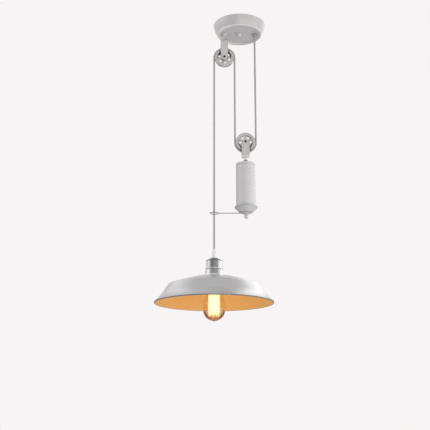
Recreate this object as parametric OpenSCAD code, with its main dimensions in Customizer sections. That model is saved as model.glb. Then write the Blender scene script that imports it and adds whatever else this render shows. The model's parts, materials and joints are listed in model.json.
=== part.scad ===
// Rise and fall pendant: a lamp on a cord that runs over a fixed pulley at the ceiling and under
// a second pulley that carries a counterweight. The lamp travels twice as far as the weight.
// Millimetres. Origin on the ceiling plane at the middle of the canopy, +Z up, lamp on the -X side.

/* [Placing] */
// From the ceiling down to the rim of the shade
drop = 888; // [850:1:1100]
// From the ceiling down to the axle of the upper pulley
upper_axle_drop = 110; // [100:1:125]
// From the ceiling down to the axle of the lower pulley
lower_axle_drop = 392; // [330:1:400]
// Gap between pieces of different bodies that pass each other
pass_gap = 0.3; // [0.2:0.05:0.5]

/* [Canopy] */
// Radius of the canopy where it meets the ceiling
canopy_r = 82; // [78:0.5:90]
// Depth of the canopy from the ceiling to its lip
canopy_h = 33; // [31:0.5:40]
// Outer radius of the round lip
canopy_lip_r = 69; // [67.5:0.5:74]
// Width of the round lip
canopy_lip_w = 8.5; // [6.5:0.5:10]
// How far the flat face is set back behind the lip
canopy_recess = 4.2; // [3:0.1:5]
// How far the side wall swells out at mid height
canopy_swell = 2.2; // [0:0.1:3]
// Sheet thickness of the canopy
canopy_wall = 1.2; // [0.8:0.1:2]

/* [Ceiling bracket] */
// Length of the bracket strip
bracket_l = 120; // [100:1:140]
// Width of the bracket strip
bracket_w = 24; // [20:0.5:30]
// Thickness of the bracket strip
bracket_t = 2.5; // [1.5:0.1:3]
// Distance between the middles of the two screw slots
slot_pitch = 70; // [60:1:76]
// Overall length of a screw slot
slot_l = 14; // [8:0.5:18]
// Width of a screw slot
slot_w = 5.2; // [4:0.1:6]
// Height of the domed nut that holds the canopy
cap_nut_h = 9; // [7:0.5:12]
// Radius of the domed nut
cap_nut_r = 11; // [9:0.5:13]

/* [Terminal block] */
// Length of the terminal block along the cord
block_l = 18; // [14:0.5:20]
// Width across the three poles
block_w = 26; // [20:0.5:28]
// Height of the terminal block
block_h = 18; // [16:0.5:18.5]
// Direction in which the cord leaves its grip inside the canopy
block_turn = 60; // [50:1:70]
// Radius of a terminal screw
block_screw_r = 2.2; // [1.5:0.1:2.6]

/* [Cord] */
// Diameter of the braided cord
cord_d = 5.6; // [5:0.1:6.4]
// Radius of the cord's bend inside the canopy, to its middle
tail_bend = 11.2; // [10:0.1:12]
// Straight length of the cord behind that bend
tail_run = 9; // [6:0.5:11]
// Radius of the nut of the cord's grip
grip_r = 8; // [7:0.1:9]
// Length of the grip below the canopy's face
grip_h = 11; // [8:0.5:14]

/* [Pulleys] */
// Radius of the cord's middle on a pulley
pulley_pitch_r = 32; // [29:0.5:34]
// How far the rim stays inside the cord's middle
rim_inset = 2; // [0:0.1:2.5]
// Width of the rim
rim_w = 13; // [10:0.5:14]
// Depth of the rim under the groove
rim_depth = 7.8; // [4:0.1:8.2]
// Thickness of the web
web_t = 3; // [2:0.1:5]
// Radius of the hub
hub_r = 10; // [8.5:0.1:11]
// Width of the hub
hub_w = 15; // [13:0.5:18]
// Number of lightening holes
hole_count = 6; // [4:1:8]
// Radius of a lightening hole
hole_r = 3.7; // [2:0.1:4]
// Radius of the circle of lightening holes
hole_ring_r = 16.5; // [15.2:0.1:16.6]
// Turn of the upper pulley's holes
upper_hole_turn = 40; // [0:1:60]
// Turn of the lower pulley's holes
lower_hole_turn = 2; // [0:1:60]
// Outer radius of the pressed-in bush
bush_r = 5.5; // [5:0.1:6.5]
// Outer radius of the axle sleeve
sleeve_r = 4; // [3:0.1:4.4]
// Radial running clearance between bush and sleeve
running_gap = 0.05; // [0.02:0.01:0.1]
// Radius of the axle bolt
axle_r = 2; // [1.5:0.1:2.6]

/* [Forks] */
// Length of the upper fork from its axle to the outer face of the bridge
upper_fork_len = 61; // [52:0.5:64]
// Length of the lower fork from its axle to the outer face of the bridge
lower_fork_len = 50; // [46:0.5:60]
// Width of an arm
fork_w = 24; // [21:0.5:28]
// Radius of the ear around the axle
ear_r = 9; // [7:0.1:11]
// Thickness of an arm
arm_t = 3; // [2:0.1:4]
// Thickness of the bridge
bridge_t = 4; // [3:0.1:5]
// Side play of the hub between the arms
hub_play = 0.5; // [0.3:0.1:1]
// Radius of the arms' round shoulders
shoulder_round = 7; // [4:0.1:9]
// Radius of the threaded studs
stud_r = 3; // [2.5:0.1:3.5]
// Radius of the wide end of a collar
collar_r = 9.4; // [8:0.1:10]
// Radius of the narrow end of a collar
collar_neck_r = 6.8; // [4.5:0.1:7.5]
// Height of the collar on the counterweight
collar_h = 19; // [12:0.5:24]

/* [Counterweight] */
// Radius of the casing
weight_r = 30; // [28:0.5:31.5]
// Height of the turned top cap
weight_cap_h = 8; // [5:0.5:12]
// Length of the casing tube
casing_l = 121; // [100:1:150]
// Wall of the casing tube
casing_wall = 1.5; // [1:0.1:3]
// Length of the ballast slug
ballast_l = 57.9; // [30:0.1:90]
// Radius of the bead round the base
bead_r = 34.8; // [31:0.1:36]
// Height of the bead and its flare
bead_h = 9; // [5:0.1:10]
// Height of the cone under the bead
cone_h = 20; // [16:0.5:26]
// Radius of the cone's small end
cone_end_r = 8.4; // [7.6:0.1:9]
// Radius where the underside turns up
cone_turn_r = 18.5; // [15:0.1:22]
// Height of that turn over the underside's end
cone_turn_h = 3.6; // [2:0.1:6]
// Radius of the ball on the finial
knob_r = 6.2; // [5:0.1:7]
// Radius of the waist over the finial's ball
knob_waist_r = 5.2; // [4.2:0.1:5.6]
// Length of the finial's neck
knob_neck_h = 2.6; // [2:0.1:6]

/* [Guide arm] */
// Radius of the arm's rod
rod_r = 1.3; // [1:0.1:2]
// Height of the arm above the cone's small end
rod_lift = 3; // [2.5:0.1:8]
// Radius of the eye, to the middle of its wire
eye_r = 12; // [6.5:0.1:13]

/* [Shade] */
// Radius of the rim
shade_r = 175; // [165:1:190]
// Radius of the flat crown
crown_r = 62; // [50:1:75]
// Height of the crown above the rim
crown_h = 76; // [70:1:85]
// Radius of the shoulder
shoulder_r = 135; // [125:1:142]
// Height of the shoulder above the rim
shoulder_h = 54.5; // [48:0.5:58]
// Rounding of the shoulder
shoulder_fillet = 13; // [8:0.5:18]
// Radius where the skirt starts to flare
flare_r = 154.5; // [150:0.5:158]
// Height where the skirt starts to flare
flare_h = 25; // [20:0.5:30]
// Radius of the rolled edge
bead_edge_r = 2.2; // [1.5:0.1:3]
// Sheet thickness of the shade
shade_wall = 0.8; // [0.6:0.1:1.5]

/* [Neck] */
// Radius of the gallery's foot
foot_r = 30.5; // [29:0.1:34]
// Height of the gallery's foot
foot_h = 9; // [6:0.5:12]
// Radius of the gallery above its foot
gallery_r = 28; // [27:0.1:29]
// Height of the gallery
gallery_h = 23; // [18:0.5:28]
// Radius of the round ring between gallery and cup
ring_r = 26.2; // [25.4:0.1:27]
// Height of that ring
ring_h = 6; // [4:0.5:8]
// Radius of the holder cup
cup_r = 24.5; // [24:0.1:25]
// Height of the holder cup
cup_h = 29; // [26:0.5:36]
// Height of the cup's domed top
dome_h = 7; // [4:0.5:9]
// Sheet thickness of the cup and the gallery
cup_wall = 1.2; // [0.8:0.1:1.6]
// Length of the tapered cord gland above the cup
gland_h = 29; // [24:0.5:36]
// Radius of the gland's foot
gland_r = 8; // [7:0.1:9]
// Radius of the gland's tip
gland_tip_r = 4.4; // [4:0.1:5]

/* [Lampholder] */
// Outer radius of the ceramic insert
insert_r = 19.8; // [18.5:0.1:20.4]
// Radius of the bore for the screw shell
shell_bore_r = 14.2; // [14:0.1:15]
// Wall of the brass screw shell
shell_wall = 0.5; // [0.3:0.1:0.6]
// How far the insert reaches below the crown
insert_below = 15; // [12:0.5:18]
// Height of the threaded clamping ring
clamp_h = 7; // [5:0.5:9]
// Outer radius of the clamping ring
clamp_r = 29; // [26:0.5:33]

/* [Bulb] */
// Largest radius of the glass
bulb_r = 32.5; // [30:0.5:34]
// Length of the glass from its neck to the middle of its round end
glass_l = 78; // [70:0.5:84]
// Radius of the glass at the cap
bulb_neck_r = 13.2; // [12.6:0.1:13.4]
// Gap between the glass neck's end and the insert
glass_gap = 1; // [0:0.5:4]
// Thickness of the glass
glass_t = 0.9; // [0.6:0.1:1.2]
// Outer radius of the screw cap
screw_cap_r = 13.1; // [12.9:0.1:13.2]
// Length of the screw cap
screw_cap_l = 24; // [22:0.5:25]
// Radius of the cage that the filament makes
cage_r = 15.5; // [10:0.5:17]
// Height of the filament cage
cage_h = 75; // [50:1:80]
// Number of filament strands
strands = 10; // [4:2:14]
// Radius of the filament wire
filament_r = 0.6; // [0.3:0.05:0.8]
// Radius of a support wire
support_r = 0.3; // [0.2:0.05:0.4]
// Radius of the glass rod in the cage
stem_r = 1.6; // [1.2:0.1:2.4]

/* [Hidden] */
$fn = 64;

// Depth of a spigot inside its tube, and of a blind thread
spigot_h = 4;
// Clearance of a stud or bolt in its hole
hole_gap = 0.2;
// Segments in a rounded corner of a turned profile
round_steps = 6;

// Cord and pulley line, from left to right
lamp_x = -2.5 * pulley_pitch_r;
upper_x = -1.5 * pulley_pitch_r;
mid_x = -0.5 * pulley_pitch_r;
lower_x = 0.5 * pulley_pitch_r;
anchor_x = 1.5 * pulley_pitch_r;

cord_r = cord_d / 2;
groove_r = cord_r + pass_gap;
flange_r = pulley_pitch_r - rim_inset;
rim_in_r = pulley_pitch_r - groove_r - rim_depth;
groove_edge = asin(rim_inset / groove_r);
arm_in = hub_w / 2 + hub_play;
arm_out = arm_in + arm_t;
nut_h = 1.3 * stud_r;
nut_r = 1.85 * stud_r;
axle_nut_h = 1.6 * axle_r;
axle_nut_r = 2.02 * axle_r;
axle_head_r = 1.9 * axle_r;
axle_head_h = 1.1 * axle_r;

face_z = -(canopy_h - canopy_recess);
floor_z = face_z + canopy_wall;
grip_nut_h = 3;
grip_spigot_r = 5;
grip_mouth_z = face_z - grip_h;
tail_z = floor_z + grip_nut_h + pass_gap;
bridge_z = -(upper_axle_drop - upper_fork_len);

weight_top_z = -(lower_axle_drop + lower_fork_len + collar_h);
casing_top_z = weight_top_z - weight_cap_h;
casing_end_z = casing_top_z - casing_l;
cone_top_z = casing_end_z - bead_h;
cone_end_z = cone_top_z - cone_h;
rod_z = cone_end_z + rod_lift;
rod_cone_r = cone_r_at(rod_lift);
rod_seat = 8;
spigot_r = weight_r - casing_wall;

// Heights above the rim of the shade
gallery_top = crown_h + gallery_h;
cup_foot = gallery_top + ring_h;
cup_top = cup_foot + cup_h;
gland_top = cup_top + gland_h;
insert_foot = crown_h - insert_below;
bulb_neck_h = insert_foot - glass_gap;
bulb_low = glass_l - bulb_neck_h;
insert_flange_h = 3;
insert_top = cup_foot + insert_flange_h + 4;
shell_foot = insert_foot + 6;
cap_foot = bulb_neck_h + 4;
cap_end = cap_foot + screw_cap_l;
tip_h = 3;
bulb_top = cap_end + tip_h;
shell_top = bulb_top;
cord_end_h = insert_top + 6;

function unit(v) = v / norm(v);

// Points of a round of radius r on corner b of the line a, b, c
function corner(a, b, c, r, n) =
    let (u = unit(a - b), w = unit(c - b), half = acos(u * w) / 2,
         m = b + unit(u + w) * r / sin(half), s = b + u * r / tan(half) - m,
         e = b + w * r / tan(half) - m, a0 = atan2(s[1], s[0]), a1 = atan2(e[1], e[0]),
         d = (a1 - a0 + 540) % 360 - 180)
    [for (k = [0 : n]) m + r * [cos(a0 + d * k / n), sin(a0 + d * k / n)]];

// An open line through [x, y, round] corners, with its rounds drawn
function rounded(p, n = round_steps) =
    [for (i = [0 : len(p) - 1])
        each (p[i][2] == 0 ? [[p[i][0], p[i][1]]]
            : corner([p[i - 1][0], p[i - 1][1]], [p[i][0], p[i][1]],
                     [p[i + 1][0], p[i + 1][1]], p[i][2], n))];

function left_of(a, b) = let (u = unit(b - a)) [-u[1], u[0]];

// The same line moved sideways by d, to the left of its direction
function beside(p, d) =
    [for (i = [0 : len(p) - 1])
        let (n0 = i == 0 ? left_of(p[0], p[1]) : left_of(p[i - 1], p[i]),
             n1 = i == len(p) - 1 ? n0 : left_of(p[i], p[i + 1]), m = unit(n0 + n1))
        p[i] + m * d / (m * n1)];

function reversed(p) = [for (i = [len(p) - 1 : -1 : 0]) p[i]];

// Outline of a sheet of thickness t, whose outer face follows the line p
function sheet(p, t) = concat(p, reversed(beside(p, -t)));

module at_lamp() { translate([lamp_x, 0, -drop]) children(); }
module at_upper() { translate([upper_x, 0, -upper_axle_drop]) children(); }
module at_lower() { translate([lower_x, 0, -lower_axle_drop]) children(); }
module at_weight(z) { translate([lower_x, 0, z]) children(); }

module tube(r_out, r_in, h) {
    difference() {
        cylinder(r = r_out, h = h);
        translate([0, 0, -1]) cylinder(r = r_in, h = h + 2);
    }
}

module hex_nut(r, h, bore) {
    difference() {
        cylinder(r = r, h = h, $fn = 6);
        translate([0, 0, -1]) cylinder(r = bore, h = h + 2);
    }
}

module cord_between(x, z_low, z_high) {
    color("dimgray") translate([x, 0, z_low]) cylinder(r = cord_r, h = z_high - z_low);
}

module cord_arc(angle, bend_r) {
    color("dimgray") rotate_extrude(angle = angle) translate([bend_r, 0]) circle(r = cord_r);
}

// ---- at the ceiling

module ceiling_bracket() {
    end_y = bracket_l / 2 - bracket_w / 2;
    color("silver") translate([0, 0, -bracket_t]) linear_extrude(height = bracket_t)
        difference() {
            union() {
                square([bracket_w, 2 * end_y], center = true);
                for (s = [-1, 1]) translate([0, s * end_y]) circle(d = bracket_w);
            }
            circle(r = stud_r);
            translate([0, earth_y()]) circle(r = earth_r());
            for (s = [-1, 1]) translate([0, s * slot_pitch / 2]) slot_outline();
        }
}

module slot_outline() {
    run = slot_l - slot_w;
    square([slot_w, run], center = true);
    for (s = [-1, 1]) translate([0, s * run / 2]) circle(d = slot_w);
}

function earth_r() = 2;
function earth_y() = (slot_pitch - slot_l) / 2 - 2 * earth_r() - 4;

module earth_screw() {
    color("goldenrod") translate([0, earth_y(), 0]) difference() {
        union() {
            translate([0, 0, -bracket_t]) cylinder(r = earth_r(), h = bracket_t - pass_gap);
            translate([0, 0, -bracket_t - 2.4]) cylinder(r = 2 * earth_r(), h = 2.4);
        }
        translate([-5, -0.4, -bracket_t - 3]) cube([10, 0.8, 1.4]);
    }
}

module centre_stud() {
    color("silver") translate([0, 0, face_z - cap_nut_h / 2])
        cylinder(r = stud_r, h = -face_z + cap_nut_h / 2);
}

module bracket_nut() {
    color("silver") translate([0, 0, -bracket_t - nut_h]) hex_nut(nut_r, nut_h, stud_r);
}

module canopy_cover() {
    lip_in = canopy_lip_r - canopy_lip_w;
    side = rounded([[canopy_r, 0, 0],
        [(canopy_r + canopy_lip_r) / 2 + canopy_swell, -0.45 * canopy_h, 30],
        [canopy_lip_r, -canopy_h, 5], [lip_in, -canopy_h, 3.2], [lip_in - 0.6, face_z, 1.4],
        [0, face_z, 0]]);
    color("gainsboro") difference() {
        rotate_extrude() polygon(sheet(side, canopy_wall));
        translate([0, 0, face_z - 1]) cylinder(r = stud_r + hole_gap, h = canopy_wall + 2);
        translate([upper_x, 0, face_z - 1])
            cylinder(r = stud_r + hole_gap, h = canopy_wall + 2);
        translate([anchor_x, 0, face_z - 1])
            cylinder(r = grip_spigot_r + hole_gap, h = canopy_wall + 2);
    }
}

module cap_nut() {
    blind = cap_nut_h / 2;
    color("gainsboro") translate([0, 0, face_z]) difference() {
        rotate_extrude() polygon(rounded([[0, 0, 0], [cap_nut_r, 0, 0], [cap_nut_r, -2.4, 0.8],
            [0.82 * cap_nut_r, -0.45 * cap_nut_h, 3], [0.5 * cap_nut_r, -cap_nut_h, 4],
            [0, -cap_nut_h, 0]]));
        translate([0, 0, -blind]) cylinder(r = stud_r, h = blind + 1);
    }
}

// Frame of the terminal block: the cord's middle enters at its own height
module at_block() {
    reach = tail_bend + tail_run;
    translate([anchor_x, 0, 0]) rotate([0, 0, block_turn])
        translate([-reach, 0, floor_z]) children();
}

module terminal_block() {
    pole = block_w / 3;
    color("ivory") at_block() difference() {
        translate([-block_l, -block_w / 2, 0]) cube([block_l, block_w, block_h]);
        for (k = [-1 : 1]) {
            translate([-block_l / 2, k * pole, block_h / 2])
                cylinder(r = block_screw_r + hole_gap, h = block_h);
            translate([-block_l - 1, k * pole, 5]) rotate([0, 90, 0])
                cylinder(r = 1.6, h = 5);
        }
        for (s = [-1, 1]) translate([-block_l - 1, s * pole / 2 - 0.5, block_h - 4])
            cube([block_l + 2, 1, 5]);
    }
}

module terminal_screws() {
    pole = block_w / 3;
    color("goldenrod") at_block() for (k = [-1 : 1])
        translate([-block_l / 2, k * pole, block_h / 2]) difference() {
            cylinder(r = block_screw_r, h = block_h / 2 - 1.5);
            translate([-3, -0.3, block_h / 2 - 2.3]) cube([6, 0.6, 2]);
        }
}

module cord_grip() {
    color("slategray") translate([anchor_x, 0, 0]) difference() {
        union() {
            translate([0, 0, face_z]) rotate_extrude() polygon(rounded([[0, 0, 0],
                [grip_r, 0, 0], [grip_r, -0.5 * grip_h, 1], [cord_r + 2, -grip_h, 1.2],
                [0, -grip_h, 0]]));
            translate([0, 0, face_z])
                cylinder(r = grip_spigot_r, h = canopy_wall + grip_nut_h);
        }
        translate([0, 0, grip_mouth_z - 1]) cylinder(r = cord_r, h = grip_h + 12);
    }
}

module cord_grip_nut() {
    color("slategray") translate([anchor_x, 0, floor_z])
        hex_nut(grip_r, grip_nut_h, grip_spigot_r);
}

// The cord from the mouth of its grip, up and round to the terminal block
module cord_tail() {
    cord_between(anchor_x, grip_mouth_z, tail_z);
    translate([anchor_x, 0, tail_z]) rotate([0, 0, block_turn]) {
        translate([-tail_bend, 0, 0]) rotate([90, 0, 0]) cord_arc(90, tail_bend);
        color("dimgray") translate([-tail_bend, 0, tail_bend]) rotate([0, -90, 0])
            cylinder(r = cord_r, h = tail_run);
    }
}

// ---- fork, fasteners and pulley, shared by both ends

// Seen from the front: round ear at the axle, widening arm, round shoulders
module fork_front(fork_len) {
    half = fork_w / 2;
    widen = 2.2 * ear_r;
    circle(r = ear_r);
    polygon(rounded([[ear_r, 0, 0], [half, widen, 12], [half, fork_len, shoulder_round],
        [-half, fork_len, shoulder_round], [-half, widen, 12], [-ear_r, 0, 0]]));
}

// Seen from the side: two arms joined by the bridge
module fork_side(fork_len) {
    low = -ear_r - 1;
    roof = fork_len - bridge_t;
    bend = arm_in - nut_r * cos(30) - hole_gap;
    outer = rounded([[arm_out, low, 0], [arm_out, fork_len, bend + arm_t],
        [-arm_out, fork_len, bend + arm_t], [-arm_out, low, 0]]);
    inner = rounded([[arm_in, low, 0], [arm_in, roof, bend], [-arm_in, roof, bend],
        [-arm_in, low, 0]]);
    polygon(concat(outer, reversed(inner)));
}

module fork(fork_len) {
    color("gainsboro") difference() {
        intersection() {
            rotate([90, 0, 0]) translate([0, 0, -arm_out - 1])
                linear_extrude(height = 2 * arm_out + 2) fork_front(fork_len);
            rotate([90, 0, 90]) translate([0, 0, -fork_w])
                linear_extrude(height = 2 * fork_w) fork_side(fork_len);
        }
        rotate([90, 0, 0]) translate([0, 0, -arm_out - 1])
            cylinder(r = axle_r + hole_gap, h = 2 * arm_out + 2);
        translate([0, 0, fork_len - bridge_t - 1]) cylinder(r = stud_r, h = bridge_t + 2);
    }
}

// The bolt's head lies against the front arm
module axle_bolt() {
    color("black") rotate([90, 0, 0]) difference() {
        union() {
            translate([0, 0, -arm_out - axle_nut_h - 1])
                cylinder(r = axle_r, h = 2 * arm_out + axle_nut_h + 1);
            translate([0, 0, arm_out]) rotate_extrude() polygon(rounded([[0, 0, 0],
                [axle_head_r, 0, 0], [0.8 * axle_head_r, axle_head_h, 1],
                [0, axle_head_h, 0]]));
        }
        translate([0, 0, arm_out + 0.4 * axle_head_h])
            cylinder(r = 0.65 * axle_r, h = axle_head_h, $fn = 6);
    }
}

module axle_nut() {
    color("silver") rotate([-90, 0, 0]) translate([0, 0, arm_out])
        hex_nut(axle_nut_r, axle_nut_h, axle_r);
}

module axle_sleeve() {
    color("silver") rotate([90, 0, 0]) translate([0, 0, -arm_in])
        tube(sleeve_r, axle_r + hole_gap, 2 * arm_in);
}

module pulley_bush() {
    color("goldenrod") rotate([90, 0, 0]) translate([0, 0, -hub_w / 2])
        tube(bush_r, sleeve_r + running_gap, hub_w);
}

// Half of the wheel's section, from the bore round to the bottom of the groove
function wheel_half() = concat(
    rounded([[bush_r, hub_w / 2, 0], [hub_r, hub_w / 2, 1],
        [hub_r + 0.6, web_t / 2, 1.5], [rim_in_r - 0.6, web_t / 2, 1.5],
        [rim_in_r, rim_w / 2, 1], [flange_r, rim_w / 2, 1.2],
        [flange_r, groove_r * cos(groove_edge), 0]]),
    [for (k = [1 : 8]) let (a = groove_edge + (90 - groove_edge) * k / 8)
        [pulley_pitch_r, 0] + groove_r * [-sin(a), cos(a)]]);

module pulley_wheel(turn) {
    half = wheel_half();
    color("lightgray") rotate([90, 0, 0]) difference() {
        rotate_extrude()
            polygon(concat(half, [for (k = [len(half) - 2 : -1 : 0]) [half[k][0], -half[k][1]]]));
        for (k = [0 : hole_count - 1]) rotate([0, 0, turn + 360 * k / hole_count])
            translate([hole_ring_r, 0, -web_t]) cylinder(r = hole_r, h = 2 * web_t);
    }
}

// ---- hung under the canopy

module upper_stud() {
    low = bridge_z - bridge_t - nut_h - 1;
    color("silver") translate([upper_x, 0, low])
        cylinder(r = stud_r, h = floor_z + nut_h + 1 - low);
}

module upper_stud_nuts() {
    color("silver") {
        translate([upper_x, 0, floor_z]) hex_nut(nut_r, nut_h, stud_r);
        translate([upper_x, 0, bridge_z - bridge_t - nut_h]) hex_nut(nut_r, nut_h, stud_r);
    }
}

module upper_collar() {
    h = face_z - bridge_z;
    color("gainsboro") translate([upper_x, 0, bridge_z]) difference() {
        rotate_extrude() polygon(rounded([[0, 0, 0], [collar_neck_r, 0, 0],
            [collar_neck_r, h - 5, 3], [collar_r, h - 2, 1], [collar_r, h, 0], [0, h, 0]]));
        translate([0, 0, -1]) cylinder(r = stud_r, h = h + 2);
    }
}

module upper_fork() { at_upper() fork(upper_fork_len); }
module upper_axle_bolt() { at_upper() axle_bolt(); }
module upper_axle_nut() { at_upper() axle_nut(); }
module upper_axle_sleeve() { at_upper() axle_sleeve(); }
module upper_pulley_wheel() { at_upper() pulley_wheel(upper_hole_turn); }
module upper_pulley_bush() { at_upper() pulley_bush(); }

module cord_over_upper_pulley() { at_upper() rotate([90, 0, 0]) cord_arc(180, pulley_pitch_r); }
module cord_mid_run() { cord_between(mid_x, -lower_axle_drop, -upper_axle_drop); }
module cord_anchor_run() { cord_between(anchor_x, -lower_axle_drop, grip_mouth_z); }

// ---- counterweight

module lower_fork() { at_lower() rotate([0, 180, 0]) fork(lower_fork_len); }
module lower_axle_bolt() { at_lower() axle_bolt(); }
module lower_axle_nut() { at_lower() axle_nut(); }
module lower_axle_sleeve() { at_lower() axle_sleeve(); }
module lower_pulley_wheel() { at_lower() pulley_wheel(lower_hole_turn); }
module lower_pulley_bush() { at_lower() pulley_bush(); }

module cord_under_lower_pulley() {
    at_lower() rotate([-90, 0, 0]) cord_arc(180, pulley_pitch_r);
}

module lower_fork_nut() {
    color("silver") at_lower() translate([0, 0, bridge_t - lower_fork_len])
        hex_nut(nut_r, nut_h, stud_r);
}

module lower_collar() {
    color("gray") at_weight(weight_top_z) difference() {
        rotate_extrude() polygon(rounded([[0, 0, 0], [collar_r, 0, 0],
            [collar_r, 0.12 * collar_h, 1], [collar_neck_r, 0.5 * collar_h, 3],
            [collar_neck_r, collar_h, 0], [0, collar_h, 0]]));
        translate([0, 0, -1]) cylinder(r = stud_r, h = collar_h + 2);
    }
}

module tie_rod() {
    high = -lower_axle_drop - lower_fork_len + bridge_t + nut_h + 1;
    low = cone_end_z - finial_bore();
    color("silver") at_weight(low) cylinder(r = stud_r, h = high - low);
}

module weight_cap() {
    color("gainsboro") at_weight(casing_top_z) difference() {
        union() {
            translate([0, 0, -spigot_h]) cylinder(r = spigot_r, h = spigot_h);
            rotate_extrude() polygon(rounded([[0, 0, 0], [weight_r - 0.5, 0, 0],
                [weight_r - 0.5, 0.7, 0], [weight_r, 0.7, 0], [weight_r, weight_cap_h, 0.8],
                [0, weight_cap_h, 0]]));
        }
        translate([0, 0, -spigot_h - 1]) cylinder(r = stud_r, h = weight_cap_h + spigot_h + 2);
    }
}

module weight_casing() {
    color("gainsboro") at_weight(casing_end_z) tube(weight_r, spigot_r, casing_l);
}

module ballast_slug() {
    color("dimgray") at_weight(casing_end_z + spigot_h)
        tube(spigot_r - 2 * hole_gap, stud_r, ballast_l);
}

// Radius of the underside at a height over its end
function cone_r_at(h) = h < cone_turn_h
    ? cone_end_r + (cone_turn_r - cone_end_r) * h / cone_turn_h
    : cone_turn_r + (bead_r - cone_turn_r) * (h - cone_turn_h) / (cone_h - cone_turn_h);

module weight_base() {
    color("gainsboro") at_weight(cone_end_z) difference() {
        union() {
            translate([0, 0, cone_h + bead_h]) cylinder(r = spigot_r, h = spigot_h);
            rotate_extrude() polygon(rounded([[0, 0, 0], [cone_end_r, 0, 0],
                [cone_turn_r, cone_turn_h, 9], [bead_r, cone_h, 1],
                [bead_r, cone_h + 0.2 * bead_h, 1], [weight_r, cone_h + 0.75 * bead_h, 6],
                [weight_r, cone_h + bead_h, 0], [0, cone_h + bead_h, 0]]));
        }
        translate([0, 0, -1]) cylinder(r = stud_r, h = cone_h + bead_h + spigot_h + 2);
        translate([-rod_cone_r + rod_seat, 0, rod_lift]) rotate([0, -90, 0])
            cylinder(r = rod_r, h = bead_r);
    }
}

function finial_bore() = 0.6 * knob_neck_h;

module weight_finial() {
    neck_r = 0.9 * cone_end_r;
    ball_z = -knob_neck_h - 0.85 * knob_r;
    color("gainsboro") at_weight(cone_end_z) difference() {
        union() {
            rotate_extrude() polygon([[0, 0], [neck_r, 0], [knob_waist_r, -knob_neck_h],
                [knob_waist_r, ball_z], [0, ball_z]]);
            translate([0, 0, ball_z]) sphere(r = knob_r);
        }
        translate([0, 0, -finial_bore()]) cylinder(r = stud_r, h = finial_bore() + 1);
    }
}

module guide_arm() {
    start_x = lower_x - rod_cone_r + rod_seat;
    color("gray") translate([0, 0, rod_z]) {
        translate([lamp_x + eye_r, 0, 0]) rotate([0, 90, 0])
            cylinder(r = rod_r, h = start_x - lamp_x - eye_r);
        translate([lamp_x, 0, 0]) rotate_extrude() translate([eye_r, 0]) circle(r = rod_r);
    }
}

// ---- lamp

module cord_lamp_run() { cord_between(lamp_x, gland_top - drop, -upper_axle_drop); }
module cord_lamp_end() { cord_between(lamp_x, cord_end_h - drop, gland_top - drop); }

module cord_gland() {
    color("whitesmoke") at_lamp() difference() {
        union() {
            translate([0, 0, cup_top]) rotate_extrude() polygon(rounded([[0, 0, 0],
                [gland_r, 0, 0], [gland_r, 4, 1], [gland_r - 1.5, 5.5, 0.8],
                [gland_tip_r, gland_h, 0.8], [0, gland_h, 0]]));
            translate([0, 0, cup_top - cup_wall - nut_h])
                cylinder(r = grip_spigot_r, h = cup_wall + nut_h);
        }
        translate([0, 0, cup_top - 12]) cylinder(r = cord_r, h = gland_h + 13);
    }
}

module gland_nut() {
    color("whitesmoke") at_lamp() translate([0, 0, cup_top - cup_wall - nut_h])
        hex_nut(gland_r, nut_h, grip_spigot_r);
}

module holder_cup() {
    line = rounded([[grip_spigot_r + hole_gap, cup_h, 0], [gland_r + 3, cup_h, 6],
        [cup_r, cup_h - dome_h, 3.5], [cup_r, 0, 0]]);
    color("lightgray") at_lamp() translate([0, 0, cup_foot])
        rotate_extrude() polygon(sheet(line, cup_wall));
}

module neck_ring() {
    color("gainsboro") at_lamp() translate([0, 0, gallery_top]) rotate_extrude()
        polygon(rounded([[insert_r + hole_gap, 0, 0], [ring_r, 0, 2], [ring_r, ring_h, 2],
            [insert_r + hole_gap, ring_h, 0]]));
}

module shade_gallery() {
    line = rounded([[insert_r + hole_gap, gallery_h, 0], [gallery_r - 1.5, gallery_h, 2],
        [gallery_r, foot_h, 2], [foot_r, foot_h - 3, 1.4], [foot_r, 0, 0]]);
    color("lightgray") at_lamp() translate([0, 0, crown_h])
        rotate_extrude() polygon(sheet(line, cup_wall));
}

module shade() {
    edge_x = shade_r - bead_edge_r;
    line = rounded([[insert_r + hole_gap, crown_h, 0], [crown_r, crown_h, 20],
        [shoulder_r, shoulder_h, shoulder_fillet], [flare_r, flare_h, 30],
        [edge_x + 0.4 * shade_wall, bead_edge_r + 0.4 * shade_wall, 0]]);
    color("white") at_lamp() {
        rotate_extrude() polygon(sheet(line, shade_wall));
        translate([0, 0, bead_edge_r]) rotate_extrude()
            translate([edge_x, 0]) circle(r = bead_edge_r);
    }
}

module clamping_ring() {
    top = crown_h - shade_wall;
    color("ivory") at_lamp() translate([0, 0, top - clamp_h]) difference() {
        rotate_extrude() polygon(rounded([[insert_r, 0, 0], [clamp_r - 5, 0, 2],
            [clamp_r - 4, clamp_h - 3, 1], [clamp_r, clamp_h - 2, 0.8],
            [clamp_r, clamp_h, 0], [insert_r, clamp_h, 0]]));
        for (a = [0 : 30 : 330]) rotate([0, 0, a]) translate([clamp_r - 3.6, 0, -1])
            cylinder(r = 1.4, h = clamp_h - 2.5);
    }
}

module socket_insert() {
    flange_r_in = cup_r - cup_wall - hole_gap;
    color("ivory") at_lamp() difference() {
        union() {
            translate([0, 0, insert_foot]) cylinder(r = insert_r, h = cup_foot - insert_foot);
            translate([0, 0, cup_foot]) cylinder(r = flange_r_in, h = insert_flange_h);
            translate([0, 0, cup_foot]) cylinder(r = insert_r - 2, h = insert_top - cup_foot);
        }
        translate([0, 0, insert_foot - 1]) cylinder(r = shell_bore_r,
            h = shell_top + contact_h() - insert_foot + 1);
        for (s = [-1, 1]) translate([s * contact_x(), 0, shell_top])
            cylinder(r = contact_r(), h = insert_top);
    }
}

function contact_x() = 8;
function contact_r() = 1.2;
function contact_h() = 2;

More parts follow.
